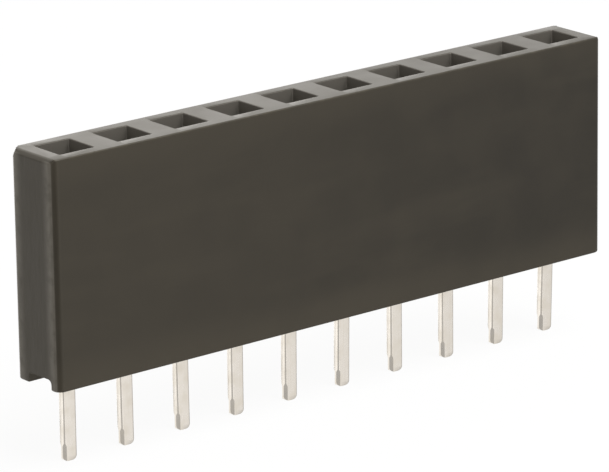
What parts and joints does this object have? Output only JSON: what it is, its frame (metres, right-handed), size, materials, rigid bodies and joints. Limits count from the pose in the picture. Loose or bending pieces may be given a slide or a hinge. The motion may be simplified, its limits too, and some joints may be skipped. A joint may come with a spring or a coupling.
{
  "type": "female pin header strip",
  "caption": "Straight single-row female pin header: slim upright black block with a row of square sockets on top and flat metal solder tails below.",
  "frame": {"origin": "middle of the strip on the board plane, where the housing's two rails stand; the solder tails reach below it", "axes": "+X along the row of sockets, +Y towards the side that the tails are offset to, +Z from the board towards the sockets' mouths"},
  "size_m": [0.0258, 0.0024, 0.0116],
  "materials": {
    "housing_plastic": "satin moulded, charcoal black",
    "contact_metal": "bright tin plate on stamped strip"
  },
  "bodies": {
    "root": {"housing": "housing_plastic", "contact_01": "contact_metal", "contact_02": "contact_metal", "contact_03": "contact_metal", "contact_04": "contact_metal", "contact_05": "contact_metal", "contact_06": "contact_metal", "contact_07": "contact_metal", "contact_08": "contact_metal", "contact_09": "contact_metal", "contact_10": "contact_metal"}
  },
  "joints": []
}
